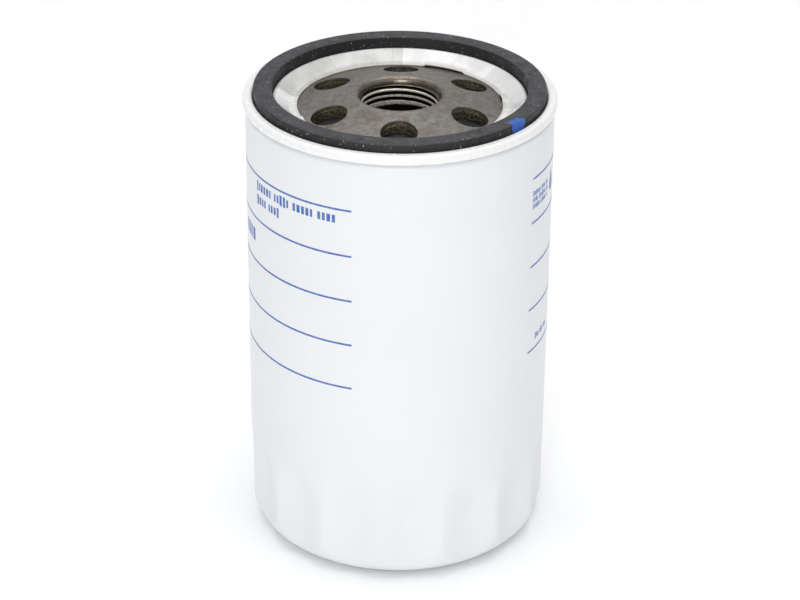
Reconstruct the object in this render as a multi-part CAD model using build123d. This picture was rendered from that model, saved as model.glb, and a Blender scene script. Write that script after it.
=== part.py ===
from build123d import *
import os
from math import atan, cos, hypot, pi, radians, sin, sqrt, tan

# A spin-on oil filter for a small engine.
# Frame: +Z up, towards the threaded end, with the origin at the centre of the closed end's rest plane.
# All sizes are in millimetres.

# Overall
overall_height = 118.7        # rest plane to the gasket's sealing face
body_radius = 37.5            # outside of the can

# Can
can_wall = 0.4
corner_radius = 8.2           # round between the can's side and its closed end
recess_radius = 17.0          # shallow dish in the middle of the closed end
recess_depth = 1.2
recess_slope = 2.5            # width of the sloping edge of that dish
flute_count = 15
flute_angle = -84.0           # direction of one flute's middle, degrees from +X
flute_top = 28.0              # height of each flute's arch
flute_full = 19.0             # height below which a flute has its full width

# Rolled seam between the can and the seal retainer
seam_proud = 0.6              # how far the seam stands out of the can
fold_room = 0.5               # left for the compound inside the seam's folds
seam_gap = 0.04               # between the folded layers
lid_sheet = 0.5               # thickness of the seal retainer
shoulder_drop = 1.0           # the can's neck starts this far below the seam
shoulder_height = 0.7

# Gasket and the groove that holds it
gasket_proud = 1.8            # the gasket stands this far above the seam
gasket_height = 5.0
gasket_width = 4.5
gasket_edge = 0.4             # rounding of its corners
gasket_gap = 0.14             # to the groove's outer wall
groove_gap = 0.05             # to the groove's inner wall
fold_drop = 2.4               # the retainer's inner fold lies this far below the sealing face
skirt_width = 6.1             # from the gasket's bore to the retainer's opening
skirt_lip = 1.5               # part of the skirt that lies along the plate
lip_gap = 0.03

# Thread plate
plate_thickness = 3.0
plate_gap = 0.2               # to the can's wall
plate_drop = 1.94             # the mouth of the neck lies this far below the sealing face
cone_margin = 1.0             # the plate's cone runs on this far past the retainer's opening
mouth_width = 1.3             # from the thread's root to the crown of the plate's cone
mouth_round = 1.7             # rounding from the cone into the throat
thread_major = 20.0           # M20 x 1.5
thread_pitch = 1.5
thread_mouth = 4.0            # the thread starts this far below the sealing face
throat_width = 0.5            # from the thread's crest to the smooth throat above it
neck_wall = 2.3               # from the thread's root to the outside of the neck
neck_depth = 10.2             # the neck ends this far below the sealing face
neck_relief = 0.1             # the bore's last stretch is this much wider, in radius
neck_relief_height = 0.3
hole_count = 6
hole_radius = 4.45
hole_margin = 1.05            # between a hole and the retainer's opening
hole_angle = 29.5             # direction of the first hole, degrees from +X
hole_edge = 0.3

# Anti-drain diaphragm
flap_clearance = 0.15         # under the plate
flap_thickness = 0.9
flap_land = 0.9               # flat outer stretch, past the plate's cone
flap_travel = 2.5
hub_width = 3.1
hub_thickness = 1.2
hub_gap = 0.1

# Element
oil_gap = 4.5                 # between the element and the can's wall
cap_sheet = 0.4
cap_rim = 4.0                 # height of the caps' rims
cap_clearance = 0.5           # below the open diaphragm
grommet_clearance = 0.08      # a sliding fit on the neck
grommet_wall = 1.82
grommet_flange = 1.6
grommet_flange_width = 2.0
collar_gap = 0.05
tube_margin = 1.75            # the centre tube is this much wider than the top cap's collar
tube_sheet = 0.4
tube_hole_radius = 2.2
tube_holes_round = 8
tube_hole_pitch = 8.5
bed_thickness = 2.0           # adhesive bed between a cap and the paper
bed_gap = 0.1
pleat_count = 48
pleat_sheet = 0.6
pleat_gap = 0.6               # from the paper's folds to the tube and to the rims
fold_width = 0.9              # width of each fold's flat tip
clip_sheet = 0.3
clip_depth = 5.0

# Element spring and its cup
cup_sheet = 0.6
cup_rim = 2.6
cup_bore = 13.0
cup_rest = 13.4               # height of the cup's underside
cup_room = 2.2                # between the spring and the cup's rim
spring_radius = 22.0
spring_wire = 2.2
spring_turns = 3.0
spring_gap = 0.05

# Bypass valve
seat_sheet = 0.6
seat_bore = 8.55
seat_lip = 1.7
seat_flange_gap = 0.3         # inside the centre tube
cage_sheet = 0.5
cage_radius = 12.9            # middle of the cage's wall
cage_height = 15.5
window_count = 4
window_width = 9.0
window_height = 8.0
guide_clearance = 0.1
washer_gap = 0.05
washer_thickness = 1.2
washer_radius = 10.4
disc_radius = 10.8
disc_thickness = 0.8
rivet_radius = 4.2
rivet_height = 0.7
rivet_neck = 2.9
boss_radius = 4.5
boss_height = 1.2
stem_radius = 1.6
stem_proud = 1.0              # above the cage
coil_radius = 6.3
coil_wire = 1.3
coil_turns = 4.5
coil_gap = 0.05

# Heights and radii that follow from the sizes above
seam_top = overall_height - gasket_proud
seam_height = 3 * lid_sheet + can_wall + fold_room
seam_bottom = seam_top - seam_height
groove_floor = overall_height - gasket_height
plate_rim_top = groove_floor - lid_sheet
hook_top = seam_bottom + 2 * lid_sheet
seam_radius = body_radius + seam_proud
wall_inside = body_radius - can_wall
chuck_inside = seam_radius - 3 * lid_sheet - 2 * can_wall - 4 * seam_gap
gasket_outer = chuck_inside - gasket_gap
gasket_inner = gasket_outer - gasket_width
lid_opening = gasket_inner - skirt_width
mouth_radius = thread_major / 2 + mouth_width
neck_radius = thread_major / 2 + neck_wall
cone_end = lid_opening + cone_margin
slope = (overall_height - plate_drop - plate_rim_top) / (cone_end - mouth_radius)
plate_upright = plate_thickness / cos(atan(slope))
hole_circle = lid_opening - hole_margin - hole_radius
thread_minor_radius = thread_major / 2 - 0.5413 * thread_pitch
throat_radius = thread_minor_radius + throat_width
mouth_height = overall_height - thread_mouth
bore_outside = thread_major / 2 + neck_wall / 3
neck_end = overall_height - neck_depth
hub_inner = neck_radius + hub_gap
hub_outer = hub_inner + hub_width
flap_radius = cone_end + flap_land
flap_face = plate_rim_top - plate_thickness - flap_clearance
top_cap_face = flap_face - flap_thickness - flap_travel - cap_clearance
bed_top = top_cap_face - cap_sheet
element_radius = wall_inside - oil_gap
rim_inside = element_radius - cap_sheet
bottom_cap_face = cup_rest + cup_sheet
bed_bottom = bottom_cap_face + cap_sheet
grommet_bore = neck_radius + grommet_clearance
collar_inside = grommet_bore + grommet_wall + collar_gap
tube_radius = collar_inside + tube_margin
tube_inside = tube_radius - tube_sheet
seat_top = bed_bottom + seat_sheet
lip_top = seat_top + seat_lip
disc_bottom = lip_top + washer_gap + washer_thickness
disc_top = disc_bottom + disc_thickness
cage_top = seat_top + cage_height


def plate_top(radius):
    """Height of the plate's conical top at a radius."""
    return overall_height - plate_drop - (radius - mouth_radius) * slope


def plate_under(radius):
    """Height of the plate's conical underside at a radius."""
    return plate_top(radius) - plate_upright


hub_bottom = plate_under(hub_outer) - flap_clearance - hub_thickness
grommet_top = hub_bottom - hub_gap
collar_top = grommet_top - grommet_flange


def outline(corners):
    """Closed face in the XZ plane from (radius, height) or (radius, height, rounding) corners."""
    points = [(corner[0], corner[1]) for corner in corners]
    rounding = [corner[2] if len(corner) > 2 else 0 for corner in corners]
    return Plane.XZ * make_face(FilletPolyline(*points, radius=rounding, close=True))


def turned(corners):
    """Solid turned about Z from its section's corners."""
    return revolve(outline(corners), Axis.Z)


def shifted(start, end, distance):
    """The line from start to end, moved to its left by a distance, as a point and a direction."""
    along = (end[0] - start[0], end[1] - start[1])
    length = hypot(*along)
    unit = (along[0] / length, along[1] / length)
    return (start[0] - unit[1] * distance, start[1] + unit[0] * distance), unit


def crossing(first, second):
    """Where two lines given as a point and a direction meet."""
    (px, py), (ux, uy) = first
    (qx, qy), (vx, vy) = second
    step = ((qx - px) * vy - (qy - py) * vx) / (ux * vy - uy * vx)
    return px + ux * step, py + uy * step


def strip_side(path, distance):
    """The points of a bent line moved to its left by a distance, with mitred corners."""
    lines = [shifted(path[i], path[i + 1], distance) for i in range(len(path) - 1)]
    last_point, last_unit = shifted(path[-2], path[-1], distance)
    length = hypot(path[-1][0] - path[-2][0], path[-1][1] - path[-2][1])
    end = (last_point[0] + last_unit[0] * length, last_point[1] + last_unit[1] * length)
    middle = [crossing(lines[i], lines[i + 1]) for i in range(len(lines) - 1)]
    return [lines[0][0]] + middle + [end]


def bent_sheet(path, sheet, bends):
    """Section of a bent sheet: corners either side of its middle line, with inside bend radii."""
    left = strip_side(path, sheet / 2)
    right = strip_side(path, -sheet / 2)
    left_round = [0]
    right_round = [0]
    for i, bend in enumerate(bends, start=1):
        before = (path[i][0] - path[i - 1][0], path[i][1] - path[i - 1][1])
        after = (path[i + 1][0] - path[i][0], path[i + 1][1] - path[i][1])
        turns_left = before[0] * after[1] - before[1] * after[0] > 0
        left_round.append(bend if turns_left else bend + sheet)
        right_round.append(bend + sheet if turns_left else bend)
    left_round.append(0)
    right_round.append(0)
    there = [(*point, rounding) for point, rounding in zip(left, left_round)]
    back = [(*point, rounding) for point, rounding in zip(right, right_round)]
    return there + back[::-1]


def pressed(path, sheet, bends):
    """Solid of revolution of a bent sheet."""
    return turned(bent_sheet(path, sheet, bends))


def coil(radius, wire, low, high, turns):
    """Round wire wound on a cylinder between two heights that its surface just reaches."""
    height = high - low - wire
    path = Helix(height / turns, height, radius, center=(0, 0, low + wire / 2))
    section = Plane(path @ 0, z_dir=path % 0) * Circle(wire / 2)
    return sweep(section, path=path, is_frenet=True)


def flute_cutter(inset):
    """Material outside one flat flute, with an arched top, on a surface set in from the can's."""
    radius = body_radius - inset
    depth = body_radius * (1 - cos(pi / flute_count))
    rise = flute_top - flute_full
    bend = (rise ** 2 + depth ** 2) / (2 * depth)
    flat = radius - depth
    reach = 1.0
    side = [(flat, -1.0), (flat, flute_full)]
    end = (radius + reach, flute_full + sqrt(bend ** 2 - (bend - depth - reach) ** 2))
    middle_height = (flute_full + end[1]) / 2
    middle = (flat + bend - sqrt(bend ** 2 - (middle_height - flute_full) ** 2), middle_height)
    outside = radius + 4 * reach
    edge = Line(side[0], side[1]) + ThreePointArc(side[1], middle, end)
    edge += Polyline(end, (outside, end[1]), (outside, side[0][1]), side[0])
    half_width = body_radius * tan(pi / flute_count) + reach
    return extrude(Plane.XZ * make_face(edge), half_width, both=True)


def can_body(inset, join):
    """The can's lower body filled solid, set in by a distance, with its flutes cut."""
    radius = body_radius - inset
    low = inset
    body = turned([
        (0, recess_depth + low),
        (recess_radius, recess_depth + low, recess_slope / 2),
        (recess_radius + recess_slope, low, recess_slope / 2),
        (radius, low, corner_radius - inset),
        (radius, join),
        (0, join),
    ])
    cutter = flute_cutter(inset)
    step = 360 / flute_count
    return body - [Rot(0, 0, flute_angle + i * step) * cutter for i in range(flute_count)]


def can_shell():
    """Deep drawn can: fluted closed end, straight wall, and the hook that the seam folds in."""
    join = flute_top + corner_radius
    bottom = can_body(0, join) - can_body(can_wall, join)
    middle = body_radius - can_wall / 2
    hook_middle = seam_radius - lid_sheet - seam_gap - can_wall / 2
    wall_middle = chuck_inside + lid_sheet + seam_gap + can_wall / 2
    shoulder = seam_bottom - shoulder_drop
    top = seam_top - lid_sheet - seam_gap - can_wall / 2
    path = [
        (middle, join),
        (middle, shoulder),
        (wall_middle, shoulder + shoulder_height),
        (wall_middle, top),
        (hook_middle, top),
        (hook_middle, seam_bottom + lid_sheet + 2 * seam_gap),
    ]
    return bottom + pressed(path, can_wall, [0.6, 0.4, 0.1, 0.1])


def seal_retainer():
    """Pressed ring: skirt on the plate, gasket groove, and the outer layer of the rolled seam."""
    half = lid_sheet / 2
    inner_wall = gasket_inner - groove_gap - half
    chuck = chuck_inside + half
    panel = seam_radius - half
    hook = chuck_inside + lid_sheet + can_wall + 2 * seam_gap + half
    rim = plate_rim_top + half
    path = [
        (lid_opening, plate_top(lid_opening) + half + lip_gap),
        (lid_opening + skirt_lip, rim + 2 * lip_gap),
        (inner_wall, overall_height - fold_drop),
        (inner_wall, rim),
        (chuck, rim),
        (chuck, seam_top - half),
        (panel, seam_top - half),
        (panel, seam_bottom + half),
        (hook, seam_bottom + half),
        (hook, hook_top),
    ]
    return pressed(path, lid_sheet, [0.6, 0.3, 0.3, 0.3, 0.2, 0.3, 0.15, 0.05])


def seam_compound():
    """Ring of sealing compound in the fold of the can's hook."""
    inner = chuck_inside + lid_sheet + can_wall + 2 * seam_gap
    low = hook_top + seam_gap
    high = seam_top - lid_sheet - can_wall - 2 * seam_gap
    outer = inner + lid_sheet
    return turned([(inner, low), (outer, low), (outer, high, 0.12), (inner, high, 0.12)])


def outer_gasket():
    """Square-cut rubber ring with eased corners."""
    return turned([
        (gasket_inner, groove_floor, gasket_edge),
        (gasket_outer, groove_floor, gasket_edge),
        (gasket_outer, overall_height, gasket_edge),
        (gasket_inner, overall_height, gasket_edge),
    ])


def thread_groove():
    """The sixty-degree groove that winds up the neck and runs out of its mouth."""
    root = thread_major / 2
    inside = thread_minor_radius - thread_pitch / 5
    root_half = thread_pitch / 16
    inside_half = root_half + (root - inside) * tan(radians(30))
    start = neck_end + neck_relief_height + thread_pitch / 4 + inside_half
    height = mouth_height - start + thread_pitch
    section = Plane.XZ * Polyline(
        (inside, start - inside_half),
        (root, start - root_half),
        (root, start + root_half),
        (inside, start + inside_half),
        close=True,
    )
    path = Helix(thread_pitch, height, root, center=(0, 0, start))
    return sweep(make_face(section), path=path, is_frenet=True)


def neck_bore():
    """The neck's inner part with its thread cut. A start on one of the bore's seams can leave it whole, so the
    start turns until the cut takes."""
    bore = turned([
        (thread_minor_radius + neck_relief, neck_end),
        (thread_minor_radius + neck_relief, neck_end + neck_relief_height),
        (thread_minor_radius, neck_end + neck_relief_height),
        (thread_minor_radius, mouth_height - throat_width),
        (throat_radius, mouth_height),
        (bore_outside, mouth_height),
        (bore_outside, neck_end),
    ])
    groove = thread_groove()
    for turn in range(50, 360, 45):
        cut = bore - Rot(0, 0, turn) * groove
        if bore.volume - cut.volume > groove.volume / 4:
            return cut
    raise ValueError("the groove doesn't cut the neck")


def thread_plate():
    """Thick dished plate with a threaded neck drawn inwards and a ring of oil holes."""
    radius = wall_inside - plate_gap
    plate = turned([
        (bore_outside, neck_end),
        (bore_outside, mouth_height),
        (throat_radius, mouth_height),
        (throat_radius, plate_top(throat_radius), mouth_round),
        (cone_end, plate_rim_top, 2 * plate_thickness),
        (radius, plate_rim_top, 0.4),
        (radius, plate_rim_top - plate_thickness, 0.4),
        (cone_end, plate_rim_top - plate_thickness, plate_thickness),
        (neck_radius, plate_under(neck_radius), 0.8),
        (neck_radius, neck_end, 0.8),
    ])
    drill = Pos(hole_circle, 0, plate_rim_top) * Cylinder(hole_radius, 6 * plate_thickness)
    step = 360 / hole_count
    plate -= [Rot(0, 0, hole_angle + i * step) * drill for i in range(hole_count)]
    return plate + neck_bore()


def antidrain_diaphragm():
    """Rubber umbrella: a hub round the neck and a thin flap that covers the oil holes."""
    top = [(radius, plate_under(radius) - flap_clearance) for radius in (hub_inner + 1, cone_end)]
    flap_low = plate_under(hub_outer + 1) - flap_clearance - flap_thickness
    return turned([
        (hub_inner, hub_bottom),
        (hub_inner, plate_under(hub_inner) - flap_clearance - 1),
        top[0],
        (*top[1], flap_thickness),
        (flap_radius, flap_face),
        (flap_radius, flap_face - flap_thickness),
        (cone_end - 1, flap_face - flap_thickness, 1.0),
        (hub_outer + 1, flap_low),
        (hub_outer, hub_bottom),
    ])


def element_grommet():
    """Rubber sleeve that seals the element's top cap to the plate's neck."""
    outer = grommet_bore + grommet_wall
    low = top_cap_face - cap_sheet
    return turned([
        (grommet_bore, low),
        (outer, low),
        (outer, collar_top),
        (outer + grommet_flange_width, collar_top, 0.3),
        (outer + grommet_flange_width, grommet_top, 0.3),
        (grommet_bore, grommet_top, 0.3),
    ])


def top_end_cap():
    """Pressed steel pan over the paper, with a collar that stands up round the grommet."""
    half = cap_sheet / 2
    path = [
        (collar_inside + half, collar_top - collar_gap),
        (collar_inside + half, top_cap_face - half),
        (element_radius - half, top_cap_face - half),
        (element_radius - half, top_cap_face - cap_rim),
    ]
    return pressed(path, cap_sheet, [0.5, 0.5])


def bottom_end_cap():
    """Pressed steel pan under the paper, with a hole for the bypass valve."""
    half = cap_sheet / 2
    path = [
        (cup_bore - seat_sheet, bottom_cap_face + half),
        (element_radius - half, bottom_cap_face + half),
        (element_radius - half, bottom_cap_face + cap_rim),
    ]
    return pressed(path, cap_sheet, [0.5])


def adhesive_bed(low, high):
    """Flat ring of cured plastisol."""
    inner = tube_radius + bed_gap
    outer = rim_inside - bed_gap
    return turned([(inner, low), (outer, low, 0.6), (outer, high, 0.6), (inner, high)])


def centre_tube():
    """Perforated steel tube that keeps the paper from collapsing."""
    height = bed_top - bed_bottom
    tube = turned([
        (tube_inside, bed_bottom),
        (tube_radius, bed_bottom),
        (tube_radius, bed_top),
        (tube_inside, bed_top),
    ])
    rows = int((height - 2 * cap_rim) // tube_hole_pitch)
    first = bed_bottom + (height - (rows - 1) * tube_hole_pitch) / 2
    half_row = 180 / tube_holes_round
    punch = Rot(0, 90, 0) * Cylinder(tube_hole_radius, 2 * tube_sheet + 2)
    holes = [
        Pos(0, 0, first + row * tube_hole_pitch)
        * Rot(0, 0, half_row * (2 * k + row % 2))
        * Pos(tube_radius - tube_sheet / 2, 0, 0)
        * punch
        for row in range(rows)
        for k in range(tube_holes_round)
    ]
    return tube - holes


def polar(radius, angle):
    """Point in the XY plane at a radius and an angle in radians."""
    return radius * cos(angle), radius * sin(angle)


def pleated_media():
    """Paper folded round the tube: flat-tipped pleats that end in two radial leaves."""
    inner = tube_radius + pleat_gap + pleat_sheet / 2
    outer = rim_inside - pleat_gap - pleat_sheet / 2
    step = 2 * pi / pleat_count
    outer_tip = fold_width / 2 / outer
    inner_tip = fold_width / 2 / inner
    path = [polar(outer - clip_sheet, outer_tip)]
    for i in range(pleat_count):
        valley = (i + 0.5) * step
        path += [polar(inner, valley - inner_tip), polar(inner, valley + inner_tip)]
        crest = (i + 1) * step
        if i < pleat_count - 1:
            path += [polar(outer, crest - outer_tip), polar(outer, crest + outer_tip)]
    path.append(polar(outer - clip_sheet, -outer_tip))
    left = strip_side(path, pleat_sheet / 2)
    right = strip_side(path, -pleat_sheet / 2)
    section = make_face(Polyline(*left, *right[::-1], close=True))
    low = bed_bottom + bed_thickness
    return Pos(0, 0, low) * extrude(section, bed_top - bed_thickness - low)


def pleat_clip():
    """Folded metal channel that grips the paper's two end leaves."""
    outer = rim_inside - pleat_gap
    half_width = fold_width / 2 + pleat_sheet / 2 + 2 * clip_sheet
    low = bed_bottom + bed_thickness
    height = bed_top - bed_thickness - low
    middle = (low + bed_top - bed_thickness) / 2
    back = Pos(outer - clip_sheet / 2, 0, middle) * Box(clip_sheet, 2 * half_width, height)
    side = Box(clip_depth, clip_sheet, height)
    offset = half_width - clip_sheet / 2
    sides = [Pos(outer - clip_depth / 2, y, middle) * side for y in (-offset, offset)]
    return back + sides


def bypass_seat():
    """Pressed ring with the upturned lip that the valve closes on."""
    half = seat_sheet / 2
    path = [
        (tube_inside - seat_flange_gap, bed_bottom + half),
        (seat_bore + half, bed_bottom + half),
        (seat_bore + half, lip_top),
    ]
    return pressed(path, seat_sheet, [0.3])


def bypass_cage():
    """Inverted cup that guides the valve's stem and backs its spring, open at its sides."""
    half = cage_sheet / 2
    path = [
        (tube_inside - seat_flange_gap, seat_top + half),
        (cage_radius, seat_top + half),
        (cage_radius, cage_top - half),
        (stem_radius + guide_clearance, cage_top - half),
    ]
    cage = pressed(path, cage_sheet, [0.4, 0.6])
    middle = seat_top + cage_sheet + (cage_height - cage_sheet) / 2
    window = Pos(cage_radius, 0, middle) * Box(6 * cage_sheet, window_width, window_height)
    step = 360 / window_count
    return cage - [Rot(0, 0, i * step) * window for i in range(window_count)]


def bypass_poppet():
    """Turned valve disc: riveted end below, spring boss and guide stem above."""
    rivet_top = disc_bottom - washer_thickness
    return turned([
        (0, rivet_top - rivet_height),
        (rivet_radius, rivet_top - rivet_height, 0.4),
        (rivet_radius, rivet_top),
        (rivet_neck, rivet_top),
        (rivet_neck, disc_bottom),
        (disc_radius, disc_bottom),
        (disc_radius, disc_top, 0.3),
        (boss_radius, disc_top),
        (boss_radius, disc_top + boss_height, 0.3),
        (stem_radius, disc_top + boss_height),
        (stem_radius, cage_top + stem_proud, 0.4),
        (0, cage_top + stem_proud),
    ])


def bypass_washer():
    """Flat rubber washer on the valve disc."""
    low = disc_bottom - washer_thickness
    return turned([
        (rivet_neck, low),
        (washer_radius, low),
        (washer_radius, disc_bottom),
        (rivet_neck, disc_bottom),
    ])


def spring_cup():
    """Pressed cup that centres the element's spring."""
    half = cup_sheet / 2
    rim = spring_radius + spring_wire / 2 + cup_room + half
    path = [
        (cup_bore, cup_rest + half),
        (rim, cup_rest + half),
        (rim, cup_rest + cup_sheet - cup_rim),
    ]
    return pressed(path, cup_sheet, [0.6])


def bypass_spring():
    """Coil spring between the valve disc and the cage."""
    high = cage_top - cage_sheet - coil_gap
    return coil(coil_radius, coil_wire, disc_top + coil_gap, high, coil_turns)


def element_spring():
    """Coil spring between the can's closed end and the cup."""
    low = can_wall + spring_gap
    return coil(spring_radius, spring_wire, low, cup_rest - spring_gap, spring_turns)


parts = {
    "can_shell": can_shell(),
    "seal_retainer": seal_retainer(),
    "seam_compound": seam_compound(),
    "outer_gasket": outer_gasket(),
    "thread_plate": thread_plate(),
    "antidrain_diaphragm": antidrain_diaphragm(),
    "element_grommet": element_grommet(),
    "top_end_cap": top_end_cap(),
    "top_adhesive": adhesive_bed(bed_top - bed_thickness, bed_top),
    "pleated_media": pleated_media(),
    "pleat_clip": pleat_clip(),
    "centre_tube": centre_tube(),
    "bottom_adhesive": adhesive_bed(bed_bottom, bed_bottom + bed_thickness),
    "bottom_end_cap": bottom_end_cap(),
    "bypass_seat": bypass_seat(),
    "bypass_washer": bypass_washer(),
    "bypass_poppet": bypass_poppet(),
    "bypass_spring": bypass_spring(),
    "bypass_cage": bypass_cage(),
    "spring_cup": spring_cup(),
    "element_spring": element_spring(),
}

os.makedirs("parts", exist_ok=True)
for node, shape in parts.items():
    export_step(shape, f"parts/{node}.step")
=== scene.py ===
import math

import bmesh
import bpy
import numpy as np
from mathutils import Matrix, Vector


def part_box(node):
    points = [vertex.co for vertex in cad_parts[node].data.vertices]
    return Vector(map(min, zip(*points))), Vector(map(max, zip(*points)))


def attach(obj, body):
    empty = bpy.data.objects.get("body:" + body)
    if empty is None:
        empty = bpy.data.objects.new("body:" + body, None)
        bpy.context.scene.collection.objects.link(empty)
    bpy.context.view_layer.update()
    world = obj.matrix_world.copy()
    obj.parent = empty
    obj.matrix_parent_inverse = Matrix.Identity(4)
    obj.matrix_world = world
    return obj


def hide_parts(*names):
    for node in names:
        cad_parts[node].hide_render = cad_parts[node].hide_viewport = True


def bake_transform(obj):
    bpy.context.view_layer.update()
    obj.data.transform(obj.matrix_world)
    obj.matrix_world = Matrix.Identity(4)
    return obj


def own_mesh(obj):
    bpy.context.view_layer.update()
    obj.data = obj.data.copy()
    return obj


bl_info = {
    "name": "Spin-on oil filter",
    "version": (1, 0, 0),
    "blender": (4, 5, 0),
    "location": "View3D > Sidebar > Oil Filter",
    "description": "Builds the looks of a spin-on oil filter around its packed frame",
    "category": "Object",
}

MM = 0.001
SHARP_ANGLE = math.radians(38)
WELD = 2e-7
CREASES = 5.5  # half the number of creases round the retainer's skirt
CREASE_START = 0.4

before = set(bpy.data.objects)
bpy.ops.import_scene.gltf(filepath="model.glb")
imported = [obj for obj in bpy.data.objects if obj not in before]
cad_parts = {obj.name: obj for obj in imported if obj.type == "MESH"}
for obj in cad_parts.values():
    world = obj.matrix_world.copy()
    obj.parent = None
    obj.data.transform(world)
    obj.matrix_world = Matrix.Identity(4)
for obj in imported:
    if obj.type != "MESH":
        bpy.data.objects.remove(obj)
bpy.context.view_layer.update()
LID_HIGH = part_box("seal_retainer")[1]
GASKET_LOW, GASKET_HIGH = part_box("outer_gasket")
PLATE_LOW, PLATE_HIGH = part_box("thread_plate")
SPRING_LOW, SPRING_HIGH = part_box("element_spring")
BYPASS_LOW, BYPASS_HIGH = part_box("bypass_spring")
FLAP_LOW, FLAP_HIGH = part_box("antidrain_diaphragm")


# Sizes and colours that a user would change

def linear(code):
    """sRGB hex colour as linear red, green and blue."""
    channels = np.array([int(code[i:i + 2], 16) for i in (1, 3, 5)]) / 255
    low = channels / 12.92
    high = ((channels + 0.055) / 1.055) ** 2.4
    return tuple(float(c) for c in np.where(channels <= 0.04045, low, high))


def length(name, description, millimetres):
    return bpy.props.FloatProperty(
        name=name, description=description, default=millimetres * MM,
        min=0, unit="LENGTH", subtype="DISTANCE", precision=5,
    )


def angle(name, description, degrees):
    return bpy.props.FloatProperty(
        name=name, description=description, default=math.radians(degrees),
        unit="ROTATION", subtype="ANGLE",
    )


def colour(name, description, code):
    return bpy.props.FloatVectorProperty(
        name=name, description=description, default=linear(code),
        size=3, min=0, max=1, subtype="COLOR",
    )


class FilterSizes(bpy.types.PropertyGroup):
    """Sizes of the visible pieces. Those that the frame holds are read from it."""

    body_radius: length("Body radius", "Outside of the can", LID_HIGH.x / MM - 0.6)
    can_wall: length("Can wall", "Thickness of the can's sheet", 0.4)
    corner_radius: length("Corner radius", "Round between the side and the closed end", 8.2)
    recess_radius: length("Recess radius", "Dish in the closed end", 17.0)
    recess_depth: length("Recess depth", "Depth of that dish", 1.2)
    recess_slope: length("Recess slope", "Width of the dish's sloping edge", 2.5)
    flute_count: bpy.props.IntProperty(
        name="Flutes", description="Number of wrench flutes", default=15, min=3)
    flute_angle: angle("Flute angle", "Direction of one flute's middle from +X", -84)
    flute_top: length("Flute top", "Height of the flutes' arches", 28.0)
    flute_full: length("Flute full", "Height below which a flute has its full width", 19.0)
    ridge_softness: length("Ridge softness", "Rounding of the ridges between flutes", 0.09)
    flute_hollow: length("Flute hollow", "How far a flute is hollowed below flat", 0.8)
    seam_height: length("Seam height", "Height of the rolled seam", 2.4)
    lid_sheet: length("Lid sheet", "Thickness of the retainer's sheet", 0.5)
    seam_gap: length("Seam gap", "Gap between the seam's layers", 0.04)
    shoulder_drop: length("Shoulder drop", "The can's neck starts this far below the seam", 1.0)
    shoulder_height: length("Shoulder height", "Height of the can's neck", 0.7)
    gasket_width: length("Gasket width", "Width of the gasket's sealing face", 4.5)
    groove_gap: length("Groove gap", "Gap to the groove's inner wall", 0.05)
    gasket_edge: length("Gasket edge", "Rounding of the gasket's corners", 0.3)
    fold_drop: length("Fold drop", "The retainer's inner fold below the sealing face", 2.4)
    skirt_width: length("Skirt width", "From the gasket's bore to the retainer's opening", 6.1)
    skirt_lip: length("Skirt lip", "Part of the skirt along the plate", 1.5)
    plate_drop: length("Plate drop", "The neck's mouth below the sealing face", 1.94)
    plate_slope: angle("Plate slope", "Fall of the plate away from its neck", 13.7)
    plate_thickness: length("Plate thickness", "Thickness of the thread plate", 3.0)
    mouth_radius: length("Mouth radius", "Where the neck's rounding meets the plate", 11.3)
    crest_radius: length("Crest radius", "Radius of the thread's crests", 9.19)
    root_radius: length("Root radius", "Radius of the thread's roots", 10.0)
    hole_count: bpy.props.IntProperty(
        name="Oil holes", description="Number of oil holes", default=6, min=1)
    hole_radius: length("Hole radius", "Radius of the oil holes", 4.45)
    hole_margin: length("Hole margin", "Between a hole and the retainer's opening", 1.05)
    hole_angle: angle("Hole angle", "Direction of the first oil hole from +X", 29.5)
    rule_count: bpy.props.IntProperty(
        name="Rules", description="Number of printed rules", default=5, min=0)
    rule_drop: length("Rule drop", "First printed rule below the sealing face", 16.8)
    rule_pitch: length("Rule pitch", "Distance between the printed rules", 11.8)
    rule_width: length("Rule width", "Thickness of a printed rule", 0.5)
    rule_start: angle("Rule start", "Where the rules end at the front, from -Y", -17.1)
    rule_end: angle("Rule end", "Where they end at the right, from -Y", 58.1)
    rule_rise: length("Rule rise", "How much higher the right-hand ends are", 1.3)
    ink_height: length("Ink height", "How far the ink stands on the enamel", 0.02)
    ink_sunk: length("Ink sunk", "How far the ink's edge reaches into the enamel", 0.04)
    drop_width: length("Drop width", "Scale of the printed drop across", 2.4)
    drop_height: length("Drop height", "Scale of the printed drop upwards", 2.9)
    spring_radius: length("Spring radius", "Element spring, to the middle of its wire", 22.0)
    spring_wire: length("Spring wire", "Thickness of the element spring's wire", 2.2)
    spring_travel: length("Spring travel", "How far the element can be pushed down", 2.0)
    coil_radius: length("Coil radius", "Bypass spring, to the middle of its wire", 6.3)
    coil_wire: length("Coil wire", "Thickness of the bypass spring's wire", 1.3)
    coil_travel: length("Coil travel", "How far the bypass valve can lift", 3.0)
    hub_radius: length("Hub radius", "Bore of the diaphragm's hub", 12.4)
    hub_width: length("Hub width", "Width of the diaphragm's hub", 3.1)
    hub_thickness: length("Hub thickness", "How far the hub hangs below the plate", 1.2)
    flap_thickness: length("Flap thickness", "Thickness of the diaphragm's flap", 0.9)
    flap_gap: length("Flap gap", "Gap between the diaphragm and the plate", 0.15)
    cone_margin: length("Cone margin", "The plate's cone runs on past the retainer's opening", 1.0)


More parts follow.
